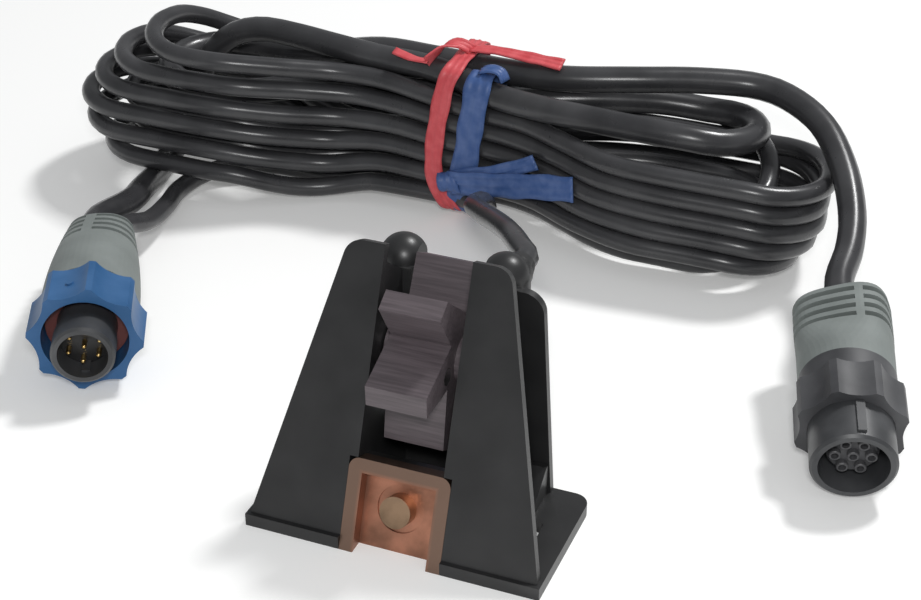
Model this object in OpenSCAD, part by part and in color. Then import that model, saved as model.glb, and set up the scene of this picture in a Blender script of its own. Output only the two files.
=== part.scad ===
// Transom paddle wheel sensor for boat speed and water temperature.
// A moulded bracket carries a free-turning paddle wheel and a copper temperature plate.
// A tied hank of cable joins it to a male plug with a locking collar and to a female socket.
// Frame: X across the transom plate, Y up the transom, Z away from it, origin under the plate's middle.

/* [Transom plate] */
// Width of the plate
base_w = 56; // [52:0.5:64]
// Depth of the plate, front edge to back edge
base_d = 28; // [26:0.5:32]
// Thickness of the plate
base_t = 2.5; // [2:0.1:4]
// Radius of the two back corners
base_corner = 3; // [1:0.5:6]
// Width of each screw slot
slot_w = 5; // [4.2:0.1:5.6]
// Length of each screw slot
slot_l = 12.5; // [8:0.5:13]
// Distance of each slot's middle from the plate's middle
slot_x = 20.2; // [19.5:0.1:22]

/* [Leaning front plate] */
// Lean of the plate away from upright, in degrees
plate_lean = 20.7; // [18:0.1:22]
// Height of the plate along its slope
plate_l = 55.3; // [52:0.1:58]
// Width of the plate at its top
plate_top_w = 29.7; // [27:0.1:34]
// Thickness of the plate
plate_t = 1.8; // [1.4:0.1:2.4]
// Radius of the top corners
plate_corner = 3.4; // [1:0.1:4]
// Width of the slot that the wheel looks out of
wheel_slot_w = 16.1; // [15:0.1:17]
// Thickness of the two walls that carry the axle
cheek_t = 2; // [1.6:0.1:2.6]

/* [Back wall and columns] */
// Width of the back wall at its foot
wall_foot_w = 41.4; // [38:0.2:44]
// Width of the back wall at its top
wall_top_w = 36.6; // [34:0.2:38]
// Height of the back wall
wall_h = 43.5; // [40:0.5:46]
// Thickness of the back wall
wall_t = 1.6; // [1.2:0.1:2.4]
// Radius of the back wall's top corners
wall_corner = 4; // [1:0.5:6]
// Diameter of the two domed columns
column_d = 8.8; // [8:0.1:9.6]
// Distance of each column from the middle
column_x = 9.7; // [9.4:0.1:10.4]
// Height of the columns to the top of the dome
column_h = 47.6; // [46.5:0.1:50]
// Width of the pocket that the wheel turns in, between the columns
pocket_w = 12.8; // [12.2:0.1:13.2]

/* [Paddle wheel] */
// Diameter over the paddle tips
wheel_d = 33.2; // [30:0.2:34]
// Width of the paddles
wheel_w = 11.3; // [10:0.1:11.6]
// Number of paddles
paddle_count = 6; // [5:1:7]
// Thickness of a paddle at its tip
paddle_t = 3.9; // [3:0.1:4.4]
// Slope of a paddle's thick side, in degrees
paddle_slope = 18.8; // [14:0.2:22]
// Diameter of the hub's end bosses
hub_d = 9; // [7:0.2:10]
// Diameter of the axle
axle_d = 3; // [2.4:0.1:3.4]
// Place of the axle behind the plate's middle
wheel_y = 7.3; // [6.5:0.1:8]
// Height of the axle
wheel_z = 31.2; // [30:0.1:33]
// Diameter of a magnet rod
magnet_d = 3; // [2:0.1:3.2]
// Length of a magnet rod
magnet_l = 5; // [3:0.5:8]

/* [Temperature plate] */
// Width of the copper tray
tray_w = 19.2; // [18:0.1:20]
// Height of the tray along the slope
tray_l = 16.6; // [15:0.1:17]
// Depth of the tray
tray_depth = 3.6; // [3:0.1:4]
// Thickness of its metal
tray_t = 0.8; // [0.6:0.1:1.2]
// Width of its rails
rail_w = 2.6; // [2:0.1:3]
// Radius of its top corners
tray_corner = 2; // [1:0.1:2.5]
// Diameter of the stud's head
stud_d = 5.8; // [5:0.1:6.4]
// Diameter of the stud's shank and of the thermistor behind it
shank_d = 3; // [2.4:0.1:3.2]

/* [Plug] */
// Diameter of the locking collar over its lobes
plug_collar_d = 23; // [22.6:0.1:25]
// Length of the locking collar
plug_collar_l = 11.5; // [10.5:0.1:13]
// Number of lobes on a collar
lobe_count = 8; // [6:1:9]
// Outer diameter of the plug's barrel
plug_barrel_d = 12.6; // [12:0.1:12.8]
// Wall of the plug's barrel
plug_barrel_wall = 1.35; // [1:0.05:1.5]
// How far the barrel stands out of the collar
plug_barrel_out = 6; // [5:0.1:8]
// Length of the plug's boot
plug_boot_l = 33.5; // [30:0.5:38]
// Diameter of the boot behind the collar
plug_boot_d = 20; // [19:0.1:21]
// Diameter of a contact pin
pin_d = 1; // [0.8:0.1:1.2]
// Radius of the ring of pins
pin_ring = 3.4; // [3.1:0.1:3.5]

/* [Socket] */
// Diameter of the fixed grip over its lobes
grip_d = 21.2; // [20.6:0.1:22.4]
// Length of the grip
grip_l = 13; // [11:0.5:15]
// Length of the grip's lobes
lobes_l = 9; // [6:0.5:10]
// Outer diameter of the socket's barrel
socket_barrel_d = 16; // [15.6:0.1:16.6]
// Depth of the socket's mouth
mouth_depth = 10; // [8:0.5:11]
// How far the socket's barrel stands out of the grip
socket_barrel_out = 9; // [7:0.1:11]
// Length of the socket's boot
socket_boot_l = 21.4; // [19:0.1:26]
// Diameter of the boot at the grip
socket_boot_d = 18.6; // [18:0.1:19.4]

/* [Cable] */
// Diameter of the sensor's cable
thin_d = 4.4; // [3.8:0.1:4.8]
// Diameter of the link cable between plug and socket
thick_d = 6; // [5.4:0.1:6.4]
// Length of the tied hank
hank_l = 182; // [170:1:190]
// Radius of the hank's round ends
hank_end_r = 22.5; // [20:0.5:26]
// Half depth of the hank where it is tied
hank_waist = 9.8; // [8:0.1:11]
// Height of the hank
hank_h = 34; // [30:0.5:36]
// Thickness of a tie
tie_t = 0.5; // [0.4:0.1:0.8]
// Width of the red tie
red_tie_w = 4.4; // [3:0.1:6]
// Width of the blue tie
blue_tie_w = 6; // [4:0.1:7]

/* [Hidden] */
$fn = 48;

black_plastic = [0.13, 0.13, 0.14];
wheel_plastic = [0.32, 0.29, 0.3];
copper = [0.62, 0.4, 0.3];
steel = [0.7, 0.7, 0.72];
boot_grey = [0.52, 0.55, 0.53];
collar_blue = [0.2, 0.37, 0.58];
seal_red = [0.4, 0.16, 0.15];
brass = [0.8, 0.65, 0.3];
cable_black = [0.12, 0.12, 0.13];
tie_red = [0.75, 0.2, 0.22];
tie_blue = [0.13, 0.22, 0.42];

snug = 0.05;       // clearance of pieces that stay put
running = 0.1;     // clearance of the wheel on its axle
turning = 0.3;     // clearance round the locking collar and beside the wheel's hub
mating = 0.2;      // clearance of a plug's barrel in a socket's mouth
far = 200;         // length of a cut that passes right through
skin = 0.6;        // overlap that joins two forms of one moulding

// Places on the sensor
front_y = -base_d / 2;
wall_y = base_d / 2 - wall_t;
column_r = column_d / 2;
column_y = base_d / 2 + column_r - 1.4;
slot_y = -2.7;
tab_w = 2 * (column_x + column_r + 0.8);
tab_back = column_y + column_r + 0.6;
cheek_x = wheel_slot_w / 2;
axle_l = 2 * (cheek_x + cheek_t);
pocket_floor = 12;
tray_s = 0.7;
tray_top = tray_s + tray_l;
stud_s = 9;
carrier_t = 2;
stud_boss_d = 7;
stud_boss_l = 5.4;
shank_l = 2.8;
hall_d = 5;
hall_z = [22, 36];
gland_z = 41.5;
gland_d = 6;
gland_spigot_d = 4;
gland_spigot_l = 3.2;
gland_l = 3;
gland_seat_y = column_y + column_r + 0.4;

// A paddle's outline runs along u, outwards, and n, towards its thick side
wheel_r = wheel_d / 2;
wheel_turn = -1.9;
paddle_step = 360 / paddle_count;
paddle_rise = tan(paddle_slope);
valley_r = (paddle_t / 2 * (1 + cos(paddle_step) - paddle_rise * sin(paddle_step)) + paddle_rise * wheel_r)
    / (sin(paddle_step) + paddle_rise * cos(paddle_step));
valley = [valley_r * cos(paddle_step) + paddle_t / 2 * sin(paddle_step),
    valley_r * sin(paddle_step) - paddle_t / 2 * cos(paddle_step)];
hub_w = wheel_slot_w - 2 * turning;
magnet_at = [7.4, 0.6];
magnet_paddles = [0, 3];

// Places on the plug, along its axis from the back of the boot
plug_rear = [-98.2, 53.4];
plug_heading = -62.5;
plug_z = plug_collar_d / 2 + turning;
collar_z = plug_boot_l + turning;
collar_web = 2.7;
plug_root_r = plug_barrel_d / 2 - 0.3;
collar_bore_r = plug_root_r + 2.65;
collar_front = collar_z + plug_collar_l;
flange_z = collar_z + collar_web + turning;
flange_t = 1.5;
flange_r = collar_bore_r - turning;
plug_tip = collar_front + plug_barrel_out;
plug_floor = plug_boot_l + 2;
plug_insert_face = plug_tip - 5.5;
pin_tip = plug_tip - 3.2;
plug_roll = -9;
seal_t = 1.2;
thick_at = -1.9;
thin_at = 3.9;
thin_drop = 1.2;
scallop_r = 9;
plug_scallop = 1.5;
grip_scallop = 1.2;
boot_sides = 48;
boot_edge = 1.2;

// Places on the socket, along its axis from the back of the boot
socket_rear = [59.8, 73.2];
socket_heading = -74.2;
socket_dip = 10;
socket_lift = 0.8;
socket_tip = socket_boot_l + grip_l + socket_barrel_out;
socket_z = socket_barrel_d / 2 * cos(socket_dip) + socket_tip * sin(socket_dip) + socket_lift;
socket_floor = socket_boot_l + 4;
socket_step = socket_tip - mouth_depth;
socket_bore_d = plug_barrel_d + 2 * mating;
socket_seat_r = socket_bore_d / 2 - 0.4;
tower_d = 2.6;
tower_l = 2.5;
socket_insert_face = socket_step - tower_l;

// Hank: its middle, its direction and the lift of its left end
hank_at = [-44, 116];
hank_turn = 2.5;
hank_lift = 3.5;
hank_tilt = 2;
tie_gap = 0.15;
red_tie_x = 2.5;
blue_tie_x = 11.5;
tied_half_l = 16;
red_tail_l = [12, 22];
blue_tail_l = 26;
blue_tail_z = 14;
blue_tail_rise = 14;
blue_tail_splay = -14;

// Routes of the free cable
sensor_lead_route = concat([for (y = [0, 3]) [column_x, gland_seat_y + gland_l + y, gland_z]],
    [[6.5, 33, 40.2], [1.5, 41, 38], [-5, 51, 34], [-11, 60, 30], [-17, 70, 25.5], [-21.5, 81, 20],
    [-24, 92, 15], [-26, 101, 11.5], [-26.5, 106, 10], [-26.5, 109, 9.5]]);
sensor_tail_route = concat([plug_at(0, thin_at, thin_drop), plug_at(-5, thin_at, thin_drop)],
    [[-96.5, 68, 8], [-99.5, 80, 5], [-102, 90, 3.5], [-103, 97, 5], [-103.5, 102, 9]]);
link_tail_route = concat([plug_at(0, thick_at, 0), plug_at(-7, thick_at, 0)],
    [[-104, 73, 9], [-107.5, 85, 6], [-110, 95, 4], [-110.5, 101, 6], [-110, 105, 10]]);
link_lead_route = concat([socket_at(0), socket_at(-8)],
    [[58.5, 92, 19.5], [56.5, 102, 22.5], [51.5, 113, 27], [44, 123.5, 31], [35, 130, 33], [26, 132, 33.5]]);

function unit(v) = v / norm(v);
function along(heading, z, y) = [z * cos(heading) - y * sin(heading), z * sin(heading) + y * cos(heading)];
function plug_at(z, y, drop) = [each plug_rear + along(plug_heading, z, y), plug_z - drop];
function socket_at(z) = [each socket_rear + along(socket_heading, z * cos(socket_dip), 0),
    socket_z - z * sin(socket_dip)];

// Y of the front plate's face at a height
function face_y(z) = front_y + z * tan(plate_lean);

// Half depth of the hank at a distance from its tie
function hank_half(x) = abs(x) < tied_half_l ? hank_waist
    : hank_waist + (hank_end_r - hank_waist) * (1 - cos(180 * (abs(x) - tied_half_l)
    / (hank_l / 2 - hank_end_r - tied_half_l))) / 2;

// Outline with round corners, one radius for each corner of a convex polygon
module rounded_outline(points, radii) {
    count = len(points);
    corners = [for (i = [0 : count - 1])
        let (p = points[i])
        let (a = unit(points[(i + count - 1) % count] - p))
        let (b = unit(points[(i + 1) % count] - p))
        let (half = acos(a * b) / 2)
        [p + a * radii[i] / tan(half), p + b * radii[i] / tan(half), p + unit(a + b) * radii[i] / sin(half)]];
    polygon([for (i = [0 : count - 1]) each radii[i] > 0 ? [corners[i][0], corners[i][1]] : [points[i]]]);
    for (i = [0 : count - 1])
        if (radii[i] > 0)
            translate(corners[i][2]) circle(radii[i]);
}

// Frame of the leaning plate: x across, y up the slope, z out of the front face
module on_plate() {
    translate([0, front_y, 0]) rotate([90 - plate_lean, 0, 0]) children();
}

// Extrudes a YZ outline across X, between two places
module across(x0, x1) {
    translate([x0, 0, 0]) rotate([90, 0, 90]) linear_extrude(x1 - x0) children();
}

module above_floor() {
    difference() {
        children();
        translate([-far / 2, -far / 2, -far]) cube([far, far, far]);
    }
}

// Frame of a connector: z from the back of its boot to its mouth, -x up
module in_plug() {
    translate([each plug_rear, plug_z]) rotate([0, 90, plug_heading]) children();
}

module in_socket() {
    translate([each socket_rear, socket_z]) rotate([0, 90 + socket_dip, socket_heading]) children();
}

// Frame of the hank: x along it, y across it, z up from its underside
module in_hank() {
    translate([each hank_at, hank_lift]) rotate([0, 0, hank_turn]) rotate([0, hank_tilt, 0]) children();
}

// Skin over a row of rings that all have as many corners
module loft(rings) {
    sides = len(rings[0]);
    last = len(rings) - 1;
    polyhedron(
        points = [for (corners = rings) each corners],
        faces = concat(
            [[for (k = [0 : sides - 1]) k]],
            [for (i = [0 : last - 1], k = [0 : sides - 1])
                let (next = (k + 1) % sides)
                each [[i * sides + k, (i + 1) * sides + k, (i + 1) * sides + next],
                    [i * sides + k, (i + 1) * sides + next, i * sides + next]]],
            [[for (k = [sides - 1 : -1 : 0]) last * sides + k]]),
        convexity = 6);
}

// Tube along a route
function route_dir(route, i) = unit(route[min(i + 1, len(route) - 1)] - route[max(i - 1, 0)]);
function ring(route, i, r, sides) =
    let (t = route_dir(route, i))
    let (u = unit(cross([0, 0, 1], t)))
    let (v = cross(t, u))
    [for (k = [0 : sides - 1]) route[i] + r * (cos(360 * k / sides) * u + sin(360 * k / sides) * v)];

module cable(route, d, sides) {
    loft([for (i = [0 : len(route) - 1]) ring(route, i, d / 2, sides)]);
}

// Transom plate with round back corners, a tab under the columns and two screw slots
module transom_plate() {
    linear_extrude(base_t) difference() {
        union() {
            rounded_outline([[-base_w / 2, front_y], [base_w / 2, front_y], [base_w / 2, -front_y],
                [-base_w / 2, -front_y]], [0, 0, base_corner, base_corner]);
            rounded_outline([[-tab_w / 2, 0], [tab_w / 2, 0], [tab_w / 2, tab_back], [-tab_w / 2, tab_back]],
                [0, 0, base_corner, base_corner]);
        }
        for (side = [-1, 1])
            translate([side * slot_x, slot_y])
                rounded_outline([[-slot_w / 2, -slot_l / 2], [slot_w / 2, -slot_l / 2],
                    [slot_w / 2, slot_l / 2], [-slot_w / 2, slot_l / 2]], [1, 1, 1, 1]);
    }
}

module front_plate() {
    above_floor() on_plate() translate([0, 0, -plate_t]) linear_extrude(plate_t) difference() {
        rounded_outline([[-base_w / 2, 0], [base_w / 2, 0], [plate_top_w / 2, plate_l],
            [-plate_top_w / 2, plate_l]], [0, 0, plate_corner, plate_corner]);
        translate([-cheek_x, tray_top]) square([2 * cheek_x, plate_l]);
    }
}

// Wall beside the wheel, from the front plate to the back wall
module axle_cheek(x0) {
    top = plate_l * cos(plate_lean) - plate_corner;
    across(x0, x0 + cheek_t) polygon([[face_y(base_t) + skin, base_t - skin], [face_y(top) + 2 * skin, top],
        [wall_y + skin, wall_h - skin], [wall_y + skin, base_t - skin]]);
}

module back_wall() {
    translate([0, wall_y + wall_t, 0]) rotate([90, 0, 0]) linear_extrude(wall_t)
        rounded_outline([[-wall_foot_w / 2, base_t - skin], [wall_foot_w / 2, base_t - skin],
            [wall_top_w / 2, wall_h], [-wall_top_w / 2, wall_h]], [0, 0, wall_corner, wall_corner]);
}

module column() {
    cylinder(r = column_r, h = column_h - column_r);
    translate([0, 0, column_h - column_r]) sphere(column_r);
}

// Rib at the foot of the back wall, beside the screw slot
module foot_rib(side) {
    rib_w = 3.6;
    rib_h = 6;
    rib_x = wall_foot_w / 2 - rib_w - 0.6;
    rib_front = slot_y + slot_l / 2 + 0.6;
    across(side > 0 ? rib_x : -rib_x - rib_w, side > 0 ? rib_x + rib_w : -rib_x)
        polygon([[rib_front, base_t - skin], [wall_y + skin, base_t - skin], [wall_y + skin, base_t + rib_h],
            [wall_y - 1, base_t + rib_h], [rib_front, base_t + 1]]);
}

// Seat behind the copper tray, with the boss that takes its stud
module tray_carrier() {
    above_floor() on_plate() {
        translate([-cheek_x - cheek_t, tray_s, -tray_depth - carrier_t])
            cube([2 * (cheek_x + cheek_t), tray_l, carrier_t]);
        translate([0, stud_s, -tray_depth - stud_boss_l]) cylinder(d = stud_boss_d, h = stud_boss_l);
    }
}

module tray_space() {
    on_plate() translate([-tray_w / 2 - snug, -far, -tray_depth])
        cube([tray_w + 2 * snug, far + tray_top + snug, tray_depth + 1]);
}

module housing() {
    color(black_plastic) difference() {
        union() {
            transom_plate();
            front_plate();
            axle_cheek(cheek_x);
            axle_cheek(-cheek_x - cheek_t);
            back_wall();
            for (side = [-1, 1]) {
                translate([side * column_x, column_y, 0]) column();
                foot_rib(side);
            }
            tray_carrier();
            translate([column_x, column_y, gland_z]) rotate([-90, 0, 0])
                cylinder(d = gland_d + 0.6, h = gland_seat_y - column_y);
        }
        tray_space();
        translate([-pocket_w / 2, wall_y - skin, pocket_floor]) cube([pocket_w, far, far]);
        translate([-far / 2, wheel_y, wheel_z]) rotate([0, 90, 0]) cylinder(d = axle_d + 2 * snug, h = far);
        on_plate() translate([0, stud_s, -far / 2]) cylinder(d = shank_d + 2 * snug, h = far);
        translate([column_x, column_y, -skin]) cylinder(d = hall_d, h = hall_z[1] + skin);
        translate([column_x, gland_seat_y - gland_spigot_l - snug, gland_z]) rotate([-90, 0, 0])
            cylinder(d = gland_spigot_d + 2 * snug, h = far);
    }
}

// Paddle wheel: each paddle is flat on one side and slopes to its root on the other
function on_paddle(k, p) =
    let (a = wheel_turn + k * paddle_step)
    [p[1] * sin(a) - p[0] * cos(a), p[0] * sin(a) + p[1] * cos(a)];

module magnet_rods(d) {
    for (k = magnet_paddles)
        translate([wheel_w / 2 - magnet_l, wheel_y + on_paddle(k, magnet_at)[0], wheel_z + on_paddle(k, magnet_at)[1]])
            rotate([0, 90, 0]) cylinder(d = d, h = magnet_l);
}

module paddle_wheel() {
    color(wheel_plastic) difference() {
        translate([0, wheel_y, wheel_z]) union() {
            across(-wheel_w / 2, wheel_w / 2) polygon([for (k = [0 : paddle_count - 1])
                each [on_paddle(k, [wheel_r, -paddle_t / 2]), on_paddle(k, [wheel_r, paddle_t / 2]),
                    on_paddle(k, valley)]]);
            translate([-hub_w / 2, 0, 0]) rotate([0, 90, 0]) cylinder(d = hub_d, h = hub_w);
        }
        translate([-far / 2, wheel_y, wheel_z]) rotate([0, 90, 0]) cylinder(d = axle_d + 2 * running, h = far);
        magnet_rods(magnet_d + 2 * snug);
    }
}

module wheel_axle() {
    color(steel) translate([-axle_l / 2, wheel_y, wheel_z]) rotate([0, 90, 0]) cylinder(d = axle_d, h = axle_l);
}

module wheel_magnets() {
    color(steel) magnet_rods(magnet_d);
}

// Pressed copper tray, open at its foot, with a raised frame on three sides
module temperature_plate() {
    dish_d = stud_d + 3;
    dish_depth = 0.3;
    color(copper) above_floor() on_plate() difference() {
        translate([0, 0, -tray_depth]) linear_extrude(tray_depth)
            rounded_outline([[-tray_w / 2, -tray_s], [tray_w / 2, -tray_s], [tray_w / 2, tray_top],
                [-tray_w / 2, tray_top]], [0, 0, tray_corner, tray_corner]);
        translate([-tray_w / 2 + rail_w, -far / 2, -tray_depth + tray_t])
            cube([tray_w - 2 * rail_w, far / 2 + tray_top - rail_w, tray_depth]);
        translate([0, stud_s, -tray_depth + tray_t - dish_depth]) cylinder(d = dish_d, h = tray_depth);
        translate([0, stud_s, -far / 2]) cylinder(d = shank_d + 2 * snug, h = far);
    }
}

module temperature_stud() {
    dish_depth = 0.3;
    head_z = -tray_depth + tray_t - dish_depth;
    color(copper) on_plate() translate([0, stud_s, 0]) {
        translate([0, 0, head_z]) cylinder(d = stud_d, h = -head_z);
        translate([0, 0, -tray_depth - shank_l]) cylinder(d = shank_d, h = shank_l + tray_depth - 1);
    }
}

module thermistor() {
    color(black_plastic) on_plate() translate([0, stud_s, -tray_depth - stud_boss_l])
        cylinder(d = shank_d, h = stud_boss_l - shank_l);
}

module hall_sensor() {
    color(black_plastic) translate([column_x, column_y, hall_z[0]])
        cylinder(d = hall_d - 2 * snug, h = hall_z[1] - hall_z[0] - snug);
}

module sensor_potting() {
    color(black_plastic) translate([column_x, column_y, 0]) cylinder(d = hall_d - 2 * snug, h = hall_z[0]);
}

module cable_gland() {
    color(black_plastic) translate([column_x, gland_seat_y, gland_z]) rotate([-90, 0, 0])
        rotate_extrude() polygon([[0, -gland_spigot_l], [gland_spigot_d / 2, -gland_spigot_l],
            [gland_spigot_d / 2, 0], [gland_d / 2, 0], [gland_d / 2, 1], [thin_d / 2 + 0.4, gland_l], [0, gland_l]]);
}

// Ring with hollow scallops between its lobes
module lobed_ring(d, depth) {
    difference() {
        circle(d = d);
        for (k = [0 : lobe_count - 1])
            rotate(360 * (k + 0.5) / lobe_count) translate([d / 2 + scallop_r - depth, 0]) circle(scallop_r);
    }
}

// Slots across a boot's back end, broken by a rib along its top and its underside
module boot_slots(z0, count, pitch, width, rib_y, rib_w) {
    for (k = [0 : count - 1])
        translate([0, 0, z0 + k * pitch]) difference() {
            cylinder(r = far / 4, h = width);
            translate([-far, rib_y - rib_w / 2, -1]) cube([2 * far, rib_w, width + 2]);
        }
}

// Section of a boot: a squared oval of half height a and half width b, rolled about the axis
function oval(z, a, b, power, roll) = [for (k = [0 : boot_sides - 1])
    let (c = cos(360 * k / boot_sides), s = sin(360 * k / boot_sides))
    let (x = a * sign(c) * pow(abs(c), 2 / power), y = b * sign(s) * pow(abs(s), 2 / power))
    [x * cos(roll) - y * sin(roll), x * sin(roll) + y * cos(roll), z]];

function mix(a, b, t) = a + (b - a) * t;

// How far a boot's rounded back edge draws its section in
function edge_in(z) = z < boot_edge ? boot_edge - sqrt(boot_edge * boot_edge - pow(boot_edge - z, 2)) : 0;
function boot_heights(l) = concat([for (t = [0, 0.15, 0.4, 1]) t * boot_edge],
    [for (k = [1 : 10]) mix(boot_edge, l, k / 10)]);

// Boot of the plug: from a flat oval round the two cables to a full round at the collar
module plug_boot_form(inset) {
    loft([for (z = boot_heights(plug_boot_l))
        let (swell = sin(90 * z / plug_boot_l), shrink = edge_in(z) + inset)
        oval(z, mix(thick_d / 2 + 1.7, plug_boot_d / 2, swell) - shrink,
            mix(thick_d / 2 + 3.9, plug_boot_d / 2, swell) - shrink, mix(2.4, 2, swell), 0)]);
}

module plug_boot() {
    color(boot_grey) in_plug() difference() {
        plug_boot_form(0);
        difference() {
            boot_slots(1.6, 4, 3.4, 1.7, -1.6, 2.2);
            plug_boot_form(1.1);
        }
    }
}

module plug_barrel() {
    r = plug_barrel_d / 2;
    bore_r = r - plug_barrel_wall;
    key = [0.9, 1.6, 3.6];
    color(black_plastic) in_plug() {
        rotate_extrude() polygon([[0, plug_boot_l], [plug_root_r, plug_boot_l], [plug_root_r, flange_z],
            [flange_r, flange_z], [flange_r, flange_z + flange_t], [plug_root_r, flange_z + flange_t],
            [plug_root_r, collar_front], [r, collar_front], [r, plug_tip - 0.5], [r - 0.5, plug_tip],
            [bore_r, plug_tip], [bore_r, plug_floor], [0, plug_floor]]);
        translate([bore_r - key[0] + 0.3, -key[1] / 2, plug_insert_face + snug]) cube(key);
    }
}

// Places of the middle contact and the six round it
module at_contacts() {
    children();
    for (k = [0 : 5])
        rotate(180 + k * 60) translate([pin_ring, 0, 0]) children();
}

module plug_insert() {
    r = plug_barrel_d / 2 - plug_barrel_wall - snug;
    color(black_plastic) in_plug() difference() {
        translate([0, 0, plug_floor]) cylinder(r = r, h = plug_insert_face - plug_floor);
        translate([0, 0, plug_floor + 3]) rotate(plug_roll) at_contacts() cylinder(d = pin_d + 2 * snug, h = far);
    }
}

module plug_pins() {
    pin_l = pin_tip - plug_floor - 3 - pin_d / 2;
    color(brass) in_plug() translate([0, 0, plug_floor + 3]) rotate(plug_roll) at_contacts() {
        cylinder(d = pin_d, h = pin_l);
        translate([0, 0, pin_l]) sphere(d = pin_d);
    }
}

module plug_seal() {
    color(seal_red) in_plug() translate([0, 0, flange_z + flange_t]) difference() {
        cylinder(r = flange_r, h = seal_t);
        translate([0, 0, -1]) cylinder(r = plug_root_r + snug, h = seal_t + 2);
    }
}

// Locking collar with an index dot in the scallop beside its top lobe
module plug_collar() {
    dot = [1.5, 0.4];
    scallop_floor = plug_collar_d / 2 - plug_scallop;
    color(collar_blue) in_plug() difference() {
        union() {
            translate([0, 0, collar_z]) linear_extrude(plug_collar_l) rotate(plug_roll)
                lobed_ring(plug_collar_d, plug_scallop);
            rotate(plug_roll + 180 + 180 / lobe_count) translate([0, 0, collar_z + plug_collar_l / 2])
                rotate([0, 90, 0]) cylinder(d = dot[0], h = scallop_floor + dot[1]);
        }
        cylinder(r = plug_root_r + turning, h = far);
        translate([0, 0, collar_z + collar_web]) cylinder(r = collar_bore_r, h = far);
    }
}

// Boot of the socket: a flattened block, rolled a little, rising to a full round at the grip
module socket_boot_form(inset) {
    block = [7.2, 9.4];
    block_roll = 20;
    loft([for (z = boot_heights(socket_boot_l))
        let (t = min(1, max(0, z / socket_boot_l - 0.35) / 0.6))
        let (swell = (1 - cos(180 * t)) / 2, shrink = edge_in(z) + inset)
        oval(z, mix(block[0], socket_boot_d / 2, swell) - shrink,
            mix(block[1], socket_boot_d / 2, swell) - shrink, mix(3, 2, swell), block_roll * (1 - swell))]);
}

module socket_boot() {
    color(boot_grey) in_socket() difference() {
        socket_boot_form(0);
        difference() {
            boot_slots(1.8, 4, 2.5, 1.3, 2.2, 1.6);
            socket_boot_form(1.2);
        }
    }
}

module socket_barrel() {
    r = socket_barrel_d / 2;
    bore_r = socket_bore_d / 2;
    key = [0.8, 1.6];
    key_y = 0.6;
    color(black_plastic) in_socket() {
        rotate_extrude() polygon([[0, socket_boot_l], [r, socket_boot_l], [r, socket_tip - 0.5],
            [r - 0.5, socket_tip], [bore_r, socket_tip], [bore_r, socket_step], [socket_seat_r, socket_step],
            [socket_seat_r, socket_floor], [0, socket_floor]]);
        translate([-r - key[0] + 0.3, key_y - key[1] / 2, socket_tip - socket_barrel_out + turning])
            cube([each key, socket_barrel_out - 1.5]);
    }
}

module socket_collar() {
    color(black_plastic) in_socket() difference() {
        union() {
            translate([0, 0, socket_boot_l]) cylinder(d = socket_boot_d, h = grip_l);
            translate([0, 0, socket_boot_l + grip_l - lobes_l]) linear_extrude(lobes_l)
                rotate(180 / lobe_count) lobed_ring(grip_d, grip_scallop);
        }
        cylinder(d = socket_barrel_d + 2 * snug, h = far);
    }
}

module socket_insert() {
    color(black_plastic) in_socket() difference() {
        union() {
            translate([0, 0, socket_floor])
                cylinder(r = socket_seat_r - snug, h = socket_insert_face - socket_floor);
            translate([0, 0, socket_floor]) at_contacts()
                cylinder(d = tower_d, h = socket_step - socket_floor);
        }
        translate([0, 0, socket_floor + 2]) at_contacts() cylinder(d = pin_d + 0.6 + 2 * snug, h = far);
    }
}

module socket_contacts() {
    color(brass) in_socket() translate([0, 0, socket_floor + 2]) at_contacts() difference() {
        cylinder(d = pin_d + 0.6, h = socket_step - socket_floor - 2.4);
        translate([0, 0, 1]) cylinder(d = pin_d + 2 * snug, h = far);
    }
}

module sensor_lead() {
    color(cable_black) cable(sensor_lead_route, thin_d, 8);
}

module sensor_tail() {
    color(cable_black) cable(sensor_tail_route, thin_d, 8);
}

module link_tail() {
    color(cable_black) cable(link_tail_route, thick_d, 10);
}

module link_lead() {
    color(cable_black) cable(link_lead_route, thick_d, 10);
}

// Hank of cable: two round ends drawn in to a waist where it is tied
module cable_hank() {
    reach = hank_l / 2 - hank_end_r;
    steps = 14;
    xs = [for (i = [0 : steps]) -reach + 2 * reach * i / steps];
    color(cable_black) in_hank() linear_extrude(hank_h) {
        for (side = [-1, 1])
            translate([side * reach, 0]) circle(hank_end_r);
        polygon(concat([for (x = xs) [x, -hank_half(x)]], [for (x = xs) [-x, hank_half(x)]]));
    }
}

// Band of a tie round the waist of the hank
module tie_band(x, w) {
    half_y = hank_waist + tie_gap;
    low = -tie_gap;
    high = hank_h + tie_gap;
    translate([x - w / 2, 0, 0]) rotate([90, 0, 90]) linear_extrude(w) difference() {
        rounded_outline([[-half_y - tie_t, low - tie_t], [half_y + tie_t, low - tie_t],
            [half_y + tie_t, high + tie_t], [-half_y - tie_t, high + tie_t]], [1, 1, 1, 1]);
        polygon([[-half_y, low], [half_y, low], [half_y, high], [-half_y, high]]);
    }
}

module red_tie() {
    tail_z = hank_h + 2 * tie_gap + tie_t;
    color(tie_red) in_hank() {
        tie_band(red_tie_x, red_tie_w);
        translate([red_tie_x - red_tie_w / 2, 2, hank_h + tie_gap])
            cube([red_tie_w, red_tie_w, 2 * tie_t + tie_gap]);
        translate([red_tie_x - red_tail_l[0], 2, tail_z])
            cube([red_tail_l[0] + red_tail_l[1], red_tie_w, tie_t]);
    }
}

module blue_tie() {
    color(tie_blue) in_hank() {
        tie_band(blue_tie_x, blue_tie_w);
        for (rise = [0, blue_tail_rise])
            translate([blue_tie_x, -hank_waist - 2 * tie_gap, blue_tail_z]) rotate([0, -rise, blue_tail_splay])
                translate([blue_tie_w * sin(rise), -tie_t, 0]) cube([blue_tail_l, tie_t, blue_tie_w]);
    }
}

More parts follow.
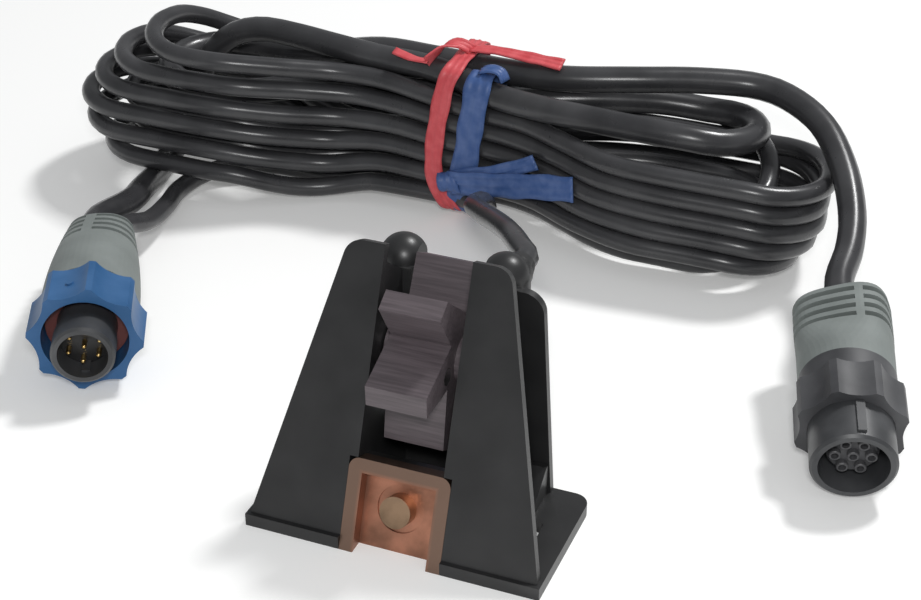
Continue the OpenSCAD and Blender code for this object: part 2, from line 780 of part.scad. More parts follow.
housing();
paddle_wheel();
wheel_axle();
wheel_magnets();
temperature_plate();
temperature_stud();
thermistor();
hall_sensor();
sensor_potting();
cable_gland();
plug_boot();
plug_barrel();
plug_insert();
plug_pins();
plug_seal();
plug_collar();
socket_boot();
socket_barrel();
socket_collar();
socket_insert();
socket_contacts();
sensor_lead();
sensor_tail();
link_tail();
link_lead();
cable_hank();
red_tie();
blue_tie();
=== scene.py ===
# %% [markdown]
# # A paddle wheel sensor on its tied cable
# The object is a boat's speed and water temperature sensor as it comes out of the box: a black moulded
# bracket with a paddle wheel and a copper plate, a long thin cable tied in a hank, and two round connectors.
# The rigid pieces arrive as a finished model, so this lesson adds what that model can't hold:
# the wound cables, the twisted ties, and a finish for every surface.

import math
import random
from collections import namedtuple

import bmesh
import bpy
from mathutils import Matrix, Vector


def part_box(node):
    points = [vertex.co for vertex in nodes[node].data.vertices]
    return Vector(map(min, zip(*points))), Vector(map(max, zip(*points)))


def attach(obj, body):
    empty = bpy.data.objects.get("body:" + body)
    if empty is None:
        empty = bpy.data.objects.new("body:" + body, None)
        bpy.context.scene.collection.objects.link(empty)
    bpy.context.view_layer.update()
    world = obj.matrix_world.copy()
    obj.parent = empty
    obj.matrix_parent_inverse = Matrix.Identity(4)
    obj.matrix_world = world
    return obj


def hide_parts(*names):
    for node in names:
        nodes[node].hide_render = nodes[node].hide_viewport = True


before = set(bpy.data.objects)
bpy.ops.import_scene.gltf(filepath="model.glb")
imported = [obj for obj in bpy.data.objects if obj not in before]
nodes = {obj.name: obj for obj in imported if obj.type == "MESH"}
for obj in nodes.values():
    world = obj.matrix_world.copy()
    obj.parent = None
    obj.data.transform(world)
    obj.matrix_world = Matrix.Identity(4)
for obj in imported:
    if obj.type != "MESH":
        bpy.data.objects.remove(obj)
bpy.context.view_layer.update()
MM = 0.001

# %% [markdown]
# ## The camera
# The picture looks down at the object from its front right, about 31 degrees above the table. The place and
# the lens were worked out from edges of known length, so the camera is written down as a point, a direction
# and a focal length. An aimed empty would do too, but a fixed direction keeps the framing exact.

# %% Camera
CAMERA_AT = Vector((104.3, -238.35, 200.6)) * MM
CAMERA_LOOKS = Vector((-0.3218, 0.7964, -0.5120))
LENS_MM, SENSOR_MM = 70.4, 36
NEAREST_SEEN = 10 * MM


def add_to_scene(name, data):
    """An object that holds this data, linked into the scene."""
    thing = bpy.data.objects.new(name, data)
    bpy.context.scene.collection.objects.link(thing)
    return thing


def placed(at, looks):
    """The matrix of a camera or a lamp at a point, turned along a direction."""
    return Matrix.Translation(at) @ looks.to_track_quat("-Z", "Y").to_matrix().to_4x4()


camera_data = bpy.data.cameras.new("camera")
camera_data.lens = LENS_MM
camera_data.sensor_width = SENSOR_MM
camera_data.clip_start = NEAREST_SEEN
camera = add_to_scene("camera", camera_data)
camera.matrix_world = placed(CAMERA_AT, CAMERA_LOOKS)
bpy.context.scene.camera = camera
print("camera at", [round(v, 3) for v in CAMERA_AT])

# %% [markdown]
# ## Paths for the cables
# A cable is a path with a round section. We choose a few points, pass a Catmull-Rom curve through
# them, and then space points evenly along it, because even spacing gives an even tube. A Bezier curve would
# need handles at every point, which is hard to write by hand for nine turns.

# %% Even points along a smooth curve
FINER = 4


def catmull(p0, p1, p2, p3, t):
    """A point between p1 and p2 on the curve that passes through all four."""
    return 0.5 * (2 * p1 + (p2 - p0) * t + (2 * p0 - 5 * p1 + 4 * p2 - p3) * t * t
                  + (3 * p1 - p0 - 3 * p2 + p3) * t ** 3)


def smooth_path(points, step):
    """Evenly spaced points, in metres, on a smooth curve through points in millimetres."""
    knots = [Vector(p) for p in points]
    padded = [2 * knots[0] - knots[1]] + knots + [2 * knots[-1] - knots[-2]]
    fine = [knots[0]]
    for a, b, c, d in zip(padded, padded[1:], padded[2:], padded[3:]):
        count = max(FINER, int((c - b).length / (step / FINER)))
        fine += [catmull(a, b, c, d, (i + 1) / count) for i in range(count)]
    total = sum((b - a).length for a, b in zip(fine, fine[1:]))
    spacing = total / max(2, round(total / step))
    even, run = [fine[0]], 0.0
    for a, b in zip(fine, fine[1:]):
        length = (b - a).length
        while length > 0 and run + length >= spacing:
            a = a + (b - a) * ((spacing - run) / length)
            even.append(a)
            length = (b - a).length
            run = 0.0
        run += length
    if (fine[-1] - even[-1]).length > spacing / 2:
        even.append(fine[-1])
    else:
        even[-1] = fine[-1]
    return [p * MM for p in even]


def path_length(path):
    return sum((b - a).length for a, b in zip(path, path[1:]))


# %% A round cable along a path
def round_cable(name, path, diameter):
    """A curve object with a round section along a path in metres."""
    curve = bpy.data.curves.new(name, "CURVE")
    curve.dimensions = "3D"
    spline = curve.splines.new("POLY")
    spline.points.add(len(path) - 1)
    for point, co in zip(spline.points, path):
        point.co = (*co, 1)
        point.radius = diameter / 2
    spline.use_smooth = True
    curve.bevel_depth = 1.0
    curve.bevel_resolution = 4
    curve.use_fill_caps = True
    return add_to_scene(name, curve)


# %% [markdown]
# ## The hank's own frame
# The hank lies a little turned and tilted on the table: its left end is held up by the two cables that pass
# under it. We describe the turns in a straight frame, x along the hank, y across and z up, and turn the
# points once at the end. The two connectors have axes of their own, and the cables have to meet their boots.

# %% From the hank's frame to the table
HANK_AT = (-44.0, 116.0)
HANK_LIFT = 3.5
HANK_TURN = 2.5
HANK_TILT = 2.0
HANK = (Matrix.Translation((*HANK_AT, HANK_LIFT)) @ Matrix.Rotation(math.radians(HANK_TURN), 4, "Z")
        @ Matrix.Rotation(math.radians(HANK_TILT), 4, "Y"))


def on_hank(x, y, z):
    return HANK @ Vector((x, y, z))


print("middle of the hank on the table:", [round(v, 1) for v in on_hank(0, 0, 0)])

# %% Along the axes of the plug and the socket
PLUG_REAR = Vector((-98.2, 53.4, 11.8))
PLUG_HEADING = math.radians(-62.5)
SOCKET_REAR = Vector((59.8, 73.2, 16.21))
SOCKET_HEADING = math.radians(-74.2)
SOCKET_DIP = math.radians(10)


def along_plug(s, side=0.0, drop=0.0):
    """A point s in front of the back of the plug's boot, to the side of its axis and below it."""
    forward = Vector((math.cos(PLUG_HEADING), math.sin(PLUG_HEADING), 0))
    sideways = Vector((-forward.y, forward.x, 0))
    return PLUG_REAR + forward * s + sideways * side - Vector((0, 0, drop))


def along_socket(s):
    """A point on the socket's axis, which dips towards its mouth."""
    flat = math.cos(SOCKET_DIP)
    forward = Vector((flat * math.cos(SOCKET_HEADING), flat * math.sin(SOCKET_HEADING),
                      -math.sin(SOCKET_DIP)))
    return SOCKET_REAR + forward * s


print("backs of the boots:", [round(v, 1) for v in along_plug(0)], [round(v, 1) for v in along_socket(0)])

# %% [markdown]
# ## The thin cable
# A good three metres of sensor cable go round nine times. Six turns climb on the outside and three come back
# down inside them, so no turn has to cross another. Each strand is drawn in to a waist under the ties and
# spreads to a loop at each end. On the left the turns stand apart, on the right they lie on each other. The
# far strands sink and lie in two columns, and no loop is folded tighter than three diameters.

# %% How a turn lies
THIN = 4.4
LEFT_PITCH, RIGHT_PITCH = 5.3, 4.45
LEFT_LIFT, LEFT_OPEN = 1.3, 0.07
LEFT_SINK, RIGHT_SINK = 0.3, 0.1
TIED, FLARED = 16.0, 52.0
FOLD_R = 13.4
SAG, SAG_FROM, SAG_TO, SAG_LEVELS = 3.4, -10.0, -48.0, 4
RUN_STEPS = 10


def ease(t):
    """A smooth step from 0 to 1."""
    t = min(1.0, max(0.0, t))
    return (1 - math.cos(math.pi * t)) / 2


def flare(x):
    """0 under the ties, 1 at the loops."""
    return ease((abs(x) - TIED) / (FLARED - TIED))


def sag(x, level):
    """How far the low turns hang between the ties and the raised left end."""
    t = min(1.0, max(0.0, (x - SAG_FROM) / (SAG_TO - SAG_FROM)))
    return SAG * max(0, 1 - level / SAG_LEVELS) * math.sin(math.pi * t) ** 2


def height(x, level, far):
    """How high a turn lies at x: the turns close up from left to right, and far strands (far = 1) sink."""
    pitch = LEFT_PITCH + (RIGHT_PITCH - LEFT_PITCH) * ease((x + TIED) / (2 * TIED))
    z = THIN / 2 + level * pitch - sag(x, level)
    if x < 0:
        return z + flare(x) * (LEFT_LIFT + z * (LEFT_OPEN * (1 - far) - LEFT_SINK * far))
    return z - flare(x) * z * RIGHT_SINK * far


def strand(x0, x1, side, waist, spread, level, far):
    """A run along one side of the hank, from x0 to x1, drawn in to the waist under the ties."""
    xs = [x0 + (x1 - x0) * i / RUN_STEPS for i in range(RUN_STEPS + 1)]
    return [on_hank(x, side * (waist + (spread - waist) * flare(x)), height(x, level, far)) for x in xs]


def fold_depth(half):
    """Length of a quarter ellipse of this half width that keeps to the fold radius."""
    return math.sqrt(FOLD_R * half)


def loop(end, reach, front, back, tip_y, level0, level1, sinks):
    """Half a turn round one end, from one strand round the tip to the other, which sinks or not."""
    points = []
    for i in range(RUN_STEPS + 1):
        t = i / RUN_STEPS
        a = math.pi * (t if end < 0 else 1 - t)
        half = front + tip_y if a < math.pi / 2 else back - tip_y
        x = end * (reach - fold_depth(half) * (1 - math.sin(a)))
        far = sinks * ease((a / math.pi - 0.5) / 0.5)
        points.append(on_hank(x, tip_y - half * math.cos(a), height(x, level0 + (level1 - level0) * t, far)))
    return points


print("tightest fold:", round(FOLD_R / THIN, 1), "diameters")

# %% Turns of the thin cable
OUTER_WAIST, OUTER_FRONT, OUTER_BACK = 7.6, 21.0, (17.0, 19.8)
INNER_WAIST, INNER_FRONT, INNER_BACK, INNER_TIP_Y, INNER_SLACK = 2.9, 16.4, 10.8, -2.8, 9.0
LEFT_REACH = [81.5, 86, 87, 83.5, 77.5, 69.5]
RIGHT_REACH = [84.5, 88, 89.5, 90, 90.5, 86]
LEFT_TIP_Y = [-7, -7, -7, -7, -5.8, -3.8]
RIGHT_TIP_Y = [-7.5, -7.5, -7.5, -7.5, -5, -3]
FIRST_X, LAST_X = -14.0, -23
LOOP_GAP = 8.0
WAIST_PLAY, REACH_PLAY = 0.25, 0.6
wobble = random.Random(11)

# A turn's level, its half widths, the slack and the tips of its loops, and whether its far strand sinks
Turn = namedtuple("Turn", "level waist front back slack left_y right_y sinks")
outer = [Turn(k, OUTER_WAIST, OUTER_FRONT, OUTER_BACK[k % 2], 0.0, LEFT_TIP_Y[k], RIGHT_TIP_Y[k], 1)
         for k in range(6)]
inner = [Turn(k, INNER_WAIST, INNER_FRONT, INNER_BACK, INNER_SLACK, INNER_TIP_Y, INNER_TIP_Y, 0)
         for k in (2, 1, 0)]
turns = outer + inner
coil = []
start_x = FIRST_X
for i, this in enumerate(turns):
    waist = this.waist + wobble.uniform(-WAIST_PLAY, WAIST_PLAY)
    left = LEFT_REACH[this.level] - this.slack + wobble.uniform(-REACH_PLAY, REACH_PLAY)
    if i == len(turns) - 1:
        coil += strand(start_x, LAST_X, -1, waist, this.front, this.level, 0)
        break
    after = turns[i + 1]
    right = RIGHT_REACH[this.level] - after.slack + wobble.uniform(-REACH_PLAY, REACH_PLAY)
    near_end = fold_depth(this.front + this.left_y) + LOOP_GAP - left
    far_start = fold_depth(this.back - this.left_y) + LOOP_GAP - left
    far_end = right - fold_depth(this.back - this.right_y) - LOOP_GAP
    coil += strand(start_x, near_end, -1, waist, this.front, this.level, 0)
    coil += loop(-1, left, this.front, this.back, this.left_y, this.level, this.level, this.sinks)
    coil += strand(far_start, far_end, 1, waist, this.back, this.level, this.sinks)
    coil += loop(1, right, after.front, this.back, this.right_y, this.level, after.level, this.sinks)
    start_x = right - fold_depth(after.front + this.right_y) - LOOP_GAP
print("turns wound:", len(turns))

# %% Thin cable from the gland to the plug
THIN_STEP = 2.5
lead = [(9.7, 24.8, 41.5), (9.7, 27.8, 41.5), (6.5, 33, 40.2), (1.5, 41, 38), (-5, 51, 34), (-11, 60, 30),
        (-17, 70, 25.5), (-21.5, 81, 20), (-24, 92, 15)]
lead_in = [(18.0, -19.4, 7.9), (15.8, -14.2, 5.0), (11.8, -10.5, 3.4), (6, -8.0, 2.4), (-4, -7.6, 2.2)]
lead_out = [(-33, -3.4, -1), (-43, -4.6, -0.8), (-51, -8, -1.2), (-56.6, -14.5, -1.9)]
tail = [(-101, 90, 3.5), (-98.2, 80, 5), (-95.6, 68, 7.6), along_plug(-5, 4.4, 1.4), along_plug(0, 3.9, 1.2)]
into_hank = [on_hank(*p) for p in lead_in]
out_of_hank = [on_hank(*p) for p in lead_out]
thin_path = smooth_path(lead + into_hank + coil + out_of_hank + tail, THIN_STEP)
thin_cable = round_cable("sensor_cable", thin_path, THIN * MM)
print("thin cable:", round(path_length(thin_path), 3), "m")

# %% [markdown]
# ## The thick cable
# The link between the plug and the socket is short and stout. It slips under the raised left end, climbs
# inside the loop, runs along the top to the right, turns back through the middle of the hank, turns again
# inside the left loop and leaves along the top for the socket.

# %% Thick cable from the plug to the socket
THICK = 6.0
THICK_STEP = 3
HALF_TURN_STEPS = 6


def half_turn(end, x, near, far, z_near, z_far):
    """A round half turn at one end, from the near strand at y = near to the far one."""
    r = (far - near) / 2
    points = []
    for i in range(HALF_TURN_STEPS + 1):
        t = i / HALF_TURN_STEPS
        a = math.pi * i / HALF_TURN_STEPS
        points.append((x + end * r * math.sin(a), near + r - r * math.cos(a), z_near + (z_far - z_near) * t))
    return points


plug_end = [along_plug(0, -1.9), along_plug(-6, -1.2), (-102.6, 72, 9.2), (-106.4, 84, 6.4), (-109.6, 95, 4)]
climb = [(-67.5, -12, -1.6), (-67, -5.5, 1), (-66, -0.5, 6), (-65, 1.8, 12), (-63, 2.4, 18), (-59.5, 2.6, 24),
         (-54, 2.6, 28.8), (-46.5, 2.2, 31.4), (-37, 0.6, 32)]
front_run = [(-27, -1.2, 32), (-16, -3.0, 32), (-4, -3.2, 31.8), (5, -4.4, 31), (14, -7.6, 29.8),
             (26, -10.2, 29.8), (38, -11.6, 30.1), (49, -12.8, 30.4)]
right_turn = half_turn(1, 60, -13.0, 13.6, 30.5, 25.4)
core_run = [(50, 12.2, 26), (40, 8.6, 26.4), (29, 4.6, 26.2), (16, 1.4, 24.8), (4, 0.2, 24), (-8, -0.4, 23.8),
            (-19, -1.8, 23.6), (-31, -4.8, 22.6), (-43, -10.4, 21.4)]
left_turn = half_turn(-1, -56, -13.2, 13.2, 20.8, 21.4)
top_run = [(-44, 10.4, 22.6), (-33, 6.2, 25.6), (-24, 3.9, 29.2), (-15, 2.9, 31.3), (-4, 2.9, 31.3),
           (6, 2.6, 31.3), (17, 1.6, 31.7), (29, 1.6, 32.5), (44, 5, 33.6), (57, 9.6, 33.9)]
socket_end = [(26, 132, 34.6), (35, 130, 33.6), (44, 123.5, 31.2), (51, 113, 27), (55.4, 102, 22.8),
              (57.2, 92, 19.8), along_socket(-9), along_socket(0)]
hank_run = [on_hank(*p) for p in climb + front_run + right_turn + core_run + left_turn + top_run]
thick_path = smooth_path(plug_end + hank_run + socket_end, THICK_STEP)
thick_cable = round_cable("link_cable", thick_path, THICK * MM)
print("thick cable:", round(path_length(thick_path), 3), "m")

# %% [markdown]
# ## The socket's contacts
# A block with seven short tubes stands in the socket's mouth, with room round it for the plug's barrel. Every
# part of it is round, so each is turned like a piece on a lathe: a profile of radius and height, carried
# round an axis. A Screw modifier would do the same for one profile, but here eight share one mesh.

# %% Turned forms on the socket's axis
def lathe(form, profile, side, up, sides):
    """Turn a profile of (radius, distance along the socket) round an axis beside the socket's own."""
    forward = (along_socket(1) - along_socket(0)).normalized()
    across = Vector((-forward.y, forward.x, 0)).normalized()
    rise = forward.cross(across) * -1
    rings = []
    for radius, s in profile:
        ring = []
        for i in range(sides):
            a = 2 * math.pi * i / sides
            x, y = side + radius * math.cos(a), up + radius * math.sin(a)
            ring.append(form.verts.new((along_socket(s) + across * x + rise * y) * MM))
        rings.append(ring)
    for a, b in zip(rings, rings[1:]):
        for i in range(sides):
            form.faces.new((a[i], a[(i + 1) % sides], b[(i + 1) % sides], b[i]))
    form.faces.new(list(reversed(rings[0])))
    form.faces.new(rings[-1])


def finished(name, form):
    """Make a piece of a form: turn its faces outwards and put it into the scene."""
    bmesh.ops.recalc_face_normals(form, faces=form.faces[:])
    mesh = bpy.data.meshes.new(name)
    form.to_mesh(mesh)
    form.free()
    return add_to_scene(name, mesh)


# %% Contact block
CORE_R, CORE_BACK, CORE_FACE, CORE_BEVEL, CORE_SIDES = 4.8, 32.9, 39.6, 0.4, 28
TUBE_R, TUBE_TIP, TUBE_ROOT, TUBE_BEVEL, TUBE_SIDES = 1.15, 40.8, 0.2, 0.15, 18
BORE_R, BORE_FLOOR_R, BORE_FLOOR = 0.72, 0.72 * 0.9, 0.1
TUBE_RING, RING_COUNT = 3.3, 6

core_profile = [(CORE_R, CORE_BACK), (CORE_R, CORE_FACE - CORE_BEVEL), (CORE_R - CORE_BEVEL, CORE_FACE)]
tube_profile = [(TUBE_R, CORE_FACE - TUBE_ROOT), (TUBE_R, TUBE_TIP - TUBE_BEVEL),
                (TUBE_R - TUBE_BEVEL, TUBE_TIP), (BORE_R, TUBE_TIP), (BORE_FLOOR_R, CORE_FACE + BORE_FLOOR)]
ring_angles = [k * math.pi / 3 for k in range(RING_COUNT)]
tubes = [(0.0, 0.0)] + [(TUBE_RING * math.cos(a), TUBE_RING * math.sin(a)) for a in ring_angles]
block_form = bmesh.new()
lathe(block_form, core_profile, 0.0, 0.0, CORE_SIDES)
for side, up in tubes:
    lathe(block_form, tube_profile, side, up, TUBE_SIDES)
contact_block = finished("socket_core", block_form)
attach(contact_block, "sensor")
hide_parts("socket_insert")
print("contact tubes:", len(tubes))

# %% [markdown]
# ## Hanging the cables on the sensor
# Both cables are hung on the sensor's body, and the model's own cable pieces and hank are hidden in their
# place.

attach(thin_cable, "sensor")
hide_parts("sensor_lead", "sensor_tail", "cable_hank")
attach(thick_cable, "sensor")
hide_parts("link_tail", "link_lead")

# %% [markdown]
# ## A helper for the finishes
# Every finish here is a Principled shader with three gentle irregularities: a soft change of colour, a change
# of roughness, and a fine bump. Object coordinates keep the scale in metres, whatever the piece's size.

# %% Finish helper
BLACK, WHITE = (0, 0, 0), (1, 1, 1)


def mix_of(a, b, t):
    return tuple(x + (y - x) * t for x, y in zip(a, b))


class Finish:
    """A material under construction: its nodes, and short ways to add and join them."""

    def __init__(self, name, roughness, metallic=0.0, specular=0.5):
        self.material = bpy.data.materials.new(name)
        self.material.use_nodes = True
        self.tree = self.material.node_tree
        self.shader = self.tree.nodes["Principled BSDF"]
        self.shader.inputs["Roughness"].default_value = roughness
        self.shader.inputs["Metallic"].default_value = metallic
        self.shader.inputs["Specular IOR Level"].default_value = specular
        self.place = self.add("ShaderNodeTexCoord").outputs["Object"]

    def add(self, kind, **settings):
        node = self.tree.nodes.new(kind)
        for key, value in settings.items():
            setattr(node, key, value)
        return node

    def join(self, a, b):
        self.tree.links.new(a, b)

    def noise(self, scale, detail, stretch=(1, 1, 1)):
        mapping = self.add("ShaderNodeMapping")
        mapping.inputs["Scale"].default_value = stretch
        self.join(self.place, mapping.inputs["Vector"])
        node = self.add("ShaderNodeTexNoise")
        node.inputs["Scale"].default_value = scale
        node.inputs["Detail"].default_value = detail
        self.join(mapping.outputs["Vector"], node.inputs["Vector"])
        return node.outputs["Fac"]

    def ramp(self, source, low, high):
        """A colour that goes from low to high, each a place on the ramp and a colour."""
        node = self.add("ShaderNodeValToRGB")
        for element, (at, colour) in zip(node.color_ramp.elements, (low, high)):
            element.position = at
            element.color = (*colour, 1)
        self.join(source, node.inputs["Fac"])
        return node.outputs["Color"]

    def between(self, source, low=0.0, high=1.0, start=0.0, end=1.0):
        """A number that goes from low to high while the source goes from start to end."""
        node = self.add("ShaderNodeMapRange")
        node.inputs["From Min"].default_value = start
        node.inputs["From Max"].default_value = end
        node.inputs["To Min"].default_value = low
        node.inputs["To Max"].default_value = high
        self.join(source, node.inputs["Value"])
        return node.outputs["Result"]

    def larger(self, a, b):
        node = self.add("ShaderNodeMath", operation="MAXIMUM")
        self.join(a, node.inputs[0])
        self.join(b, node.inputs[1])
        return node.outputs["Value"]

    def colour(self, source):
        self.join(source, self.shader.inputs["Base Color"])

    def rough(self, source, low, high):
        self.join(self.between(source, low, high), self.shader.inputs["Roughness"])

    def bump(self, source, strength, depth):
        """Raise and sink the surface by up to depth, in millimetres."""
        node = self.add("ShaderNodeBump")
        node.inputs["Strength"].default_value = strength
        node.inputs["Distance"].default_value = depth * MM
        self.join(source, node.inputs["Height"])
        self.join(node.outputs["Normal"], self.shader.inputs["Normal"])


def dress(finish, *names):
    """Put a finish on rigid pieces by name."""
    for name in names:
        mesh = nodes[name].data
        mesh.materials.clear()
        mesh.materials.append(finish.material)


# %% [markdown]
# ## Plastics and rubbers
# The bracket is semi-gloss black plastic, the boots are soft grey rubber, and the wheel is a duller
# brown-grey. One recipe serves nearly all of them: a moulded surface is a little cloudy, shines unevenly and
# has a fine grain. An even colour would look like paint. The wheel has a recipe of its own, with fine lines
# along its axle. Colours are written as they should look under plain light.

# %% Plastics and rubbers
def moulded(name, base, spread, roughness, grain, depth, specular=0.5):
    """Plain moulded plastic or rubber: cloudy colour, uneven sheen and a fine grain."""
    f = Finish(name, roughness, specular=specular)
    dark, pale = mix_of(base, BLACK, spread), mix_of(base, WHITE, 0.12 * spread)
    f.colour(f.ramp(f.noise(scale=90, detail=5), (0.3, dark), (0.7, pale)))
    f.rough(f.noise(scale=240, detail=3), roughness - 0.2 * spread, roughness + 0.27 * spread)
    f.bump(f.noise(scale=grain, detail=2), strength=0.25, depth=depth)
    return f


bracket_black = moulded("bracket_black", (0.012, 0.012, 0.0125), spread=0.1, roughness=0.37,
                        grain=2600, depth=0.01)
barrel_black = moulded("barrel_black", (0.045, 0.047, 0.051), spread=0.3, roughness=0.4,
                       grain=2200, depth=0.03)
# Painted light: the socket's insert and contact block get a lighter grey than the black plastics, standing in
# for light that barely reaches inside the socket's mouth.
insert_painted_light = moulded("insert_painted_light", (0.05, 0.05, 0.054), spread=0.2, roughness=0.4,
                      grain=2200, depth=0.03)
grip_black = moulded("grip_black", (0.048, 0.049, 0.054), spread=0.3, roughness=0.5,
                     grain=2000, depth=0.04)
boot_grey = moulded("boot_grey", (0.23, 0.256, 0.246), spread=0.2, roughness=0.62,
                    grain=1600, depth=0.05, specular=0.35)
collar_blue = moulded("collar_blue", (0.026, 0.125, 0.31), spread=0.25, roughness=0.4,
                      grain=2200, depth=0.03, specular=0.3)
seal_red = moulded("seal_red", (0.16, 0.035, 0.03), spread=0.25, roughness=0.6,
                   grain=1800, depth=0.04)
dress(bracket_black, "housing", "cable_gland", "plug_insert", "sensor_potting", "hall_sensor", "thermistor")
dress(barrel_black, "plug_barrel", "socket_barrel")
# Painted light on the socket's insert: its lighter grey stands in for light inside the mouth.
dress(insert_painted_light, "socket_insert")
contact_block.data.materials.append(insert_painted_light.material)
dress(grip_black, "socket_collar")
dress(boot_grey, "plug_boot", "socket_boot")
dress(collar_blue, "plug_collar")
dress(seal_red, "plug_seal")
print("bracket and connectors dressed")

# %% Wheel, with fine lines along its axle
ALONG_AXLE = (0.05, 1, 1)
WHEEL_DARK, WHEEL_PALE = (0.075, 0.061, 0.067), (0.115, 0.094, 0.103)
wheel_grey = Finish("wheel_grey", roughness=0.42)
lines = wheel_grey.noise(scale=1900, detail=5, stretch=ALONG_AXLE)
wheel_grey.colour(wheel_grey.ramp(lines, (0.35, WHEEL_DARK), (0.65, WHEEL_PALE)))
wheel_grey.rough(wheel_grey.noise(scale=300, detail=3), low=0.36, high=0.5)
wheel_grey.bump(lines, strength=0.3, depth=0.06)
dress(wheel_grey, "paddle_wheel")
print("wheel dressed")

# %% [markdown]
# ## Metals
# The copper is tarnished where water reaches it, and the tray's raised rails are mixed towards a darker brown
# than its floor. Noise between a bright and a dull colour gives the tarnish. The rails are found by where
# they are on the plate, because a mask painted by hand would need a picture file.

# %% Metals
RAIL_BROWN = (0.25, 0.165, 0.125)
RAIL_FROM, RAIL_TO = 6.2 * MM, 7.6 * MM
TOP_RAIL, TOP_FADE = 1.8 * MM, 1.0 * MM


def tarnished(name, bright, dull, roughness):
    """Bare metal between a bright and a dull colour, with uneven sheen and fine pits."""
    f = Finish(name, roughness, metallic=1.0)
    f.colour(f.ramp(f.noise(scale=160, detail=6), (0.32, dull), (0.62, bright)))
    f.rough(f.noise(scale=420, detail=4), roughness - 0.1, roughness + 0.16)
    f.bump(f.noise(scale=1400, detail=3), strength=0.2, depth=0.03)
    return f


def darken_rails(finish, colour, top):
    """Mix in a second colour where the piece is far from its middle plane or near its top."""
    split = finish.add("ShaderNodeSeparateXYZ")
    finish.join(finish.place, split.inputs["Vector"])
    reach = finish.add("ShaderNodeMath", operation="ABSOLUTE")
    finish.join(split.outputs["X"], reach.inputs[0])
    aside = finish.between(reach.outputs["Value"], start=RAIL_FROM, end=RAIL_TO)
    above = finish.between(split.outputs["Z"], start=top - TOP_FADE, end=top)
    blend = finish.add("ShaderNodeMixRGB")
    blend.inputs["Color2"].default_value = (*colour, 1)
    finish.join(finish.larger(aside, above), blend.inputs["Fac"])
    finish.join(finish.shader.inputs["Base Color"].links[0].from_socket, blend.inputs["Color1"])
    finish.colour(blend.outputs["Color"])


copper = tarnished("copper", (0.56, 0.26, 0.17), (0.28, 0.14, 0.092), roughness=0.42)
plate_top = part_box("temperature_plate")[1][2]
darken_rails(copper, RAIL_BROWN, plate_top - TOP_RAIL)
stud_copper = tarnished("stud_copper", (0.4, 0.265, 0.17), (0.19, 0.125, 0.08), roughness=0.36)
brass = tarnished("brass", (0.85, 0.62, 0.27), (0.6, 0.4, 0.15), roughness=0.3)
steel = tarnished("steel", (0.62, 0.62, 0.62), (0.42, 0.42, 0.43), roughness=0.3)
dress(copper, "temperature_plate")
dress(stud_copper, "temperature_stud")
dress(brass, "plug_pins", "socket_contacts")
dress(steel, "wheel_axle", "wheel_magnets")
print("top of the copper plate:", round(plate_top / MM, 1), "mm")

# %% [markdown]
# ## The cable jacket
# Both cables have the same black jacket. It is smoother than the moulded pieces, so that each strand shows a
# fine bright line, and it follows the same recipe.

# %% Cable jacket
jacket = moulded("cable_jacket", (0.034, 0.034, 0.037), spread=0.2, roughness=0.28, grain=900, depth=0.03)
for cable in (thin_cable, thick_cable):
    cable.data.materials.append(jacket.material)
print("cables dressed")

# %% [markdown]
# ## The ties
# Each tie is a flat plastic ribbon with a wire down its middle. We sweep a ribbon section along a path: at
# each point we need the direction along the path and the direction across the ribbon. A tie is a band round
# the waist, a knot or a bow, and loose tails, all swept the same way and joined in one piece.

# %% Ribbon helper
RIBBON_T = 0.4
RIBBON_STEP = 0.8
WIDTH_WAVE, WIDTH_RATE = 0.05, 0.55
RIPPLE, RIPPLE_RATE = 0.12, 0.9
CREASES = [(-0.5, 0.0), (-0.3, 0.35), (-0.26, 0.0), (-0.08, 0.1), (0.0, 0.7), (0.08, 0.1), (0.26, 0.0),
           (0.3, 0.35), (0.5, 0.0)]


def sweep_ribbon(form, points, across, width):
    """Add one strip through points on the hank; across is the width's direction at its two ends."""
    path = smooth_path([on_hank(*p) for p in points], RIBBON_STEP)
    first, last = [Vector(on_hank(*a) - on_hank(0, 0, 0)).normalized() for a in across]
    thick = RIBBON_T * MM
    phase = wobble.uniform(0, 6)
    rings = []
    for i, p in enumerate(path):
        t = (path[min(i + 1, len(path) - 1)] - path[max(i - 1, 0)]).normalized()
        u = first.lerp(last, i / (len(path) - 1))
        u = (u - t * u.dot(t)).normalized()
        n = t.cross(u)
        w = width * MM * (1 + WIDTH_WAVE * math.sin(WIDTH_RATE * i + phase))
        ripple = RIPPLE * MM * math.sin(RIPPLE_RATE * i + 2 * phase)
        top = [p + u * (s * w) + n * (thick * (0.5 + h) + ripple * s) for s, h in CREASES]
        low = [p + u * (s * w) - n * (thick * 0.5 - ripple * s) for s, h in reversed(CREASES)]
        rings.append([form.verts.new(v) for v in top + low])
    for a, b in zip(rings, rings[1:]):
        for k in range(len(a)):
            form.faces.new((a[k], b[k], b[(k + 1) % len(a)], a[(k + 1) % len(a)]))
    form.faces.new(rings[0])
    form.faces.new(list(reversed(rings[-1])))


def tie(name, strips):
    """One piece from strips, each of points, the directions across its two ends, and a width."""
    form = bmesh.new()
    for points, across, width in strips:
        sweep_ribbon(form, points, across, width)
    piece = finished(name, form)
    piece.data.polygons.foreach_set("use_smooth", [True] * len(piece.data.polygons))
    return piece


def tie_finish(name, base):
    """Thin coloured plastic, crumpled a little."""
    f = Finish(name, roughness=0.4, specular=0.3)
    dark, pale = mix_of(base, BLACK, 0.16), mix_of(base, WHITE, 0.05)
    f.colour(f.ramp(f.noise(scale=420, detail=5), (0.3, dark), (0.7, pale)))
    f.rough(f.noise(scale=700, detail=3), low=0.32, high=0.5)
    f.bump(f.noise(scale=900, detail=3), strength=0.3, depth=0.08)
    return f


print("points round a ribbon:", 2 * len(CREASES))

